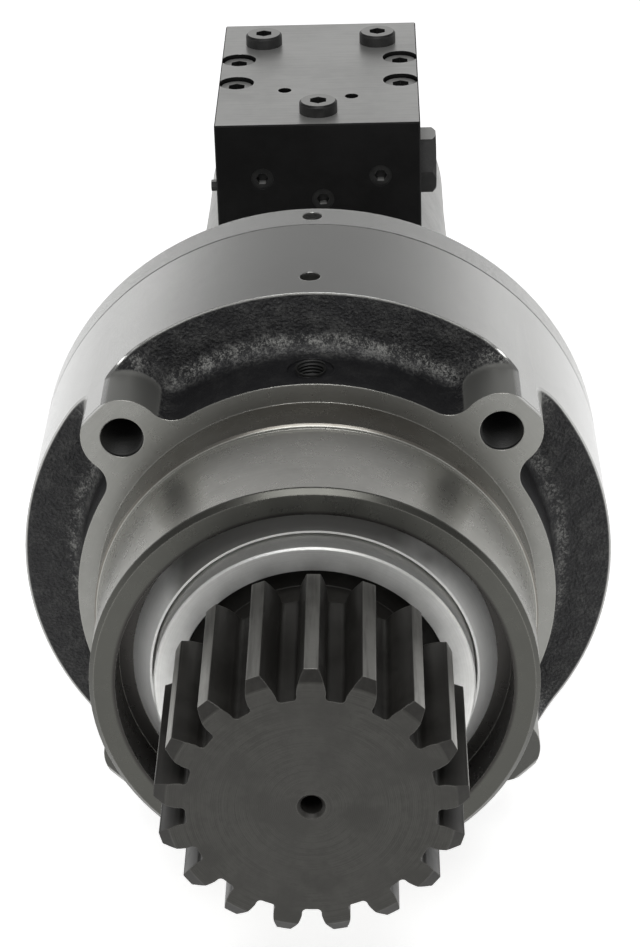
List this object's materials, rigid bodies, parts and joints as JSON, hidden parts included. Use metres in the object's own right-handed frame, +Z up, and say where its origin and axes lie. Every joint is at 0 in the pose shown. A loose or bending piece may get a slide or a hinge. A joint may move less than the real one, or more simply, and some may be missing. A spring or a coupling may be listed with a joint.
{
  "type": "swing gearbox",
  "caption": "Planetary swing drive with output pinion, pilot spigot, eared mounting flange, hydraulic piston motor and a valve block on its barrel.",
  "frame": {"origin": "centre of the mounting flange's face, on the shaft axis", "axes": "+Y along the shaft axis from the pinion to the motor, so the pinion points to -Y; +Z up, towards the valve block"},
  "size_m": [0.26, 0.615, 0.26],
  "materials": {
    "cast_housing": "rough casting with machined faces, thinly oiled",
    "cast_motor": "machined and light grey",
    "pinion_steel": "dark hardened steel",
    "collar_steel": "ground and bright",
    "seal_case": "dull grey seal case",
    "seal_rubber": "black nitrile",
    "block_paint": "satin black",
    "black_screws": "black oxide",
    "plug_steel": "black phosphate",
    "bearing_steel": "ground bearing steel",
    "gear_steel": "case-hardened, oiled",
    "machined_steel": "machined, oiled",
    "bronze": "bearing bronze",
    "friction_lining": "sintered friction lining"
  },
  "bodies": {
    "casing": {"gear_housing": "cast_housing", "oil_seal": "seal_case", "lower_bearing_cup": "bearing_steel", "upper_bearing_cup": "bearing_steel", "ring_gear": "gear_steel", "housing_grub_screw": "black_screws", "flange_grub_screw": "black_screws", "brake_casing": "cast_motor", "joint_screws": "black_screws", "motor_shaft_seal": "seal_rubber", "front_bearing_race": "bearing_steel", "main_bearing_race": "bearing_steel", "rear_bearing": "bearing_steel", "brake_plates": "machined_steel", "brake_springs": "machined_steel", "main_casing": "cast_motor", "swash_plate": "machined_steel", "valve_plate": "machined_steel", "end_cover": "cast_motor", "end_cover_screws": "black_screws", "valve_block": "block_paint", "valve_block_screws": "black_screws", "top_plugs": "plug_steel", "front_plugs": "plug_steel", "relief_valve_cap": "plug_steel", "bleed_nipple": "plug_steel"},
    "output": {"pinion_shaft": "pinion_steel", "seal_collar": "collar_steel", "lower_bearing_cone": "bearing_steel", "lower_bearing_rollers": "bearing_steel", "bearing_spacer": "machined_steel", "upper_bearing_cone": "bearing_steel", "upper_bearing_rollers": "bearing_steel", "lock_washer": "machined_steel", "lock_nut": "machined_steel", "second_carrier": "machined_steel", "carrier_snap_ring": "machined_steel", "second_planet_pins": "machined_steel", "second_planet_bushes": "bronze"},
    "intermediate": {"second_sun_gear": "gear_steel", "first_carrier": "machined_steel", "first_planet_pins": "machined_steel", "first_planet_bushes": "bronze"},
    "motor": {"first_sun_gear": "gear_steel", "motor_shaft": "machined_steel", "front_bearing_inner": "bearing_steel", "front_bearing_rollers": "bearing_steel", "main_bearing_inner": "bearing_steel", "main_bearing_rollers": "bearing_steel", "brake_discs": "friction_lining", "cylinder_block": "machined_steel", "pistons": "machined_steel"},
    "brake_piston": {"brake_piston": "machined_steel"},
    "planet_2_1": {"second_planet_1": "gear_steel"},
    "planet_1_1": {"first_planet_1": "gear_steel"},
    "planet_2_2": {"second_planet_2": "gear_steel"},
    "planet_1_2": {"first_planet_2": "gear_steel"},
    "planet_2_3": {"second_planet_3": "gear_steel"},
    "planet_1_3": {"first_planet_3": "gear_steel"}
  },
  "joints": [
    {"name": "output_spin", "type": "hinge", "parent": "casing", "child": "output", "pos_m": [0, 0, 0], "axis": [0, 1, 0], "continuous": true},
    {"name": "intermediate_spin", "type": "hinge", "parent": "casing", "child": "intermediate", "pos_m": [0, 0.095, 0], "axis": [0, 1, 0], "continuous": true},
    {"name": "motor_spin", "type": "hinge", "parent": "casing", "child": "motor", "pos_m": [0, 0.2, 0], "axis": [0, 1, 0], "continuous": true},
    {"name": "planet_2_1_spin", "type": "hinge", "parent": "output", "child": "planet_2_1", "pos_m": [0, 0.08, 0.0675], "axis": [0, 1, 0], "continuous": true},
    {"name": "planet_2_2_spin", "type": "hinge", "parent": "output", "child": "planet_2_2", "pos_m": [0.05846, 0.08, -0.03375], "axis": [0, 1, 0], "continuous": true},
    {"name": "planet_2_3_spin", "type": "hinge", "parent": "output", "child": "planet_2_3", "pos_m": [-0.05846, 0.08, -0.03375], "axis": [0, 1, 0], "continuous": true},
    {"name": "planet_1_1_spin", "type": "hinge", "parent": "intermediate", "child": "planet_1_1", "pos_m": [0, 0.109, 0.063], "axis": [0, 1, 0], "continuous": true},
    {"name": "planet_1_2_spin", "type": "hinge", "parent": "intermediate", "child": "planet_1_2", "pos_m": [0.05456, 0.109, -0.0315], "axis": [0, 1, 0], "continuous": true},
    {"name": "planet_1_3_spin", "type": "hinge", "parent": "intermediate", "child": "planet_1_3", "pos_m": [-0.05456, 0.109, -0.0315], "axis": [0, 1, 0], "continuous": true},
    {"name": "brake_release", "type": "slide", "parent": "casing", "child": "brake_piston", "axis": [0, 1, 0], "range_m": [0, 0.0015], "stiffness_N_per_m": 200000, "springref_m": -0.002, "deforming": ["brake_springs"]}
  ],
  "couplings": [
    {"joint": "intermediate_spin", "follows": "output_spin", "ratio": 4.2857},
    {"joint": "motor_spin", "follows": "output_spin", "ratio": 24},
    {"joint": "planet_2_1_spin", "follows": "output_spin", "ratio": -2.875},
    {"joint": "planet_2_2_spin", "follows": "output_spin", "ratio": -2.875},
    {"joint": "planet_2_3_spin", "follows": "output_spin", "ratio": -2.875},
    {"joint": "planet_1_1_spin", "follows": "output_spin", "ratio": -10.952},
    {"joint": "planet_1_2_spin", "follows": "output_spin", "ratio": -10.952},
    {"joint": "planet_1_3_spin", "follows": "output_spin", "ratio": -10.952}
  ]
}
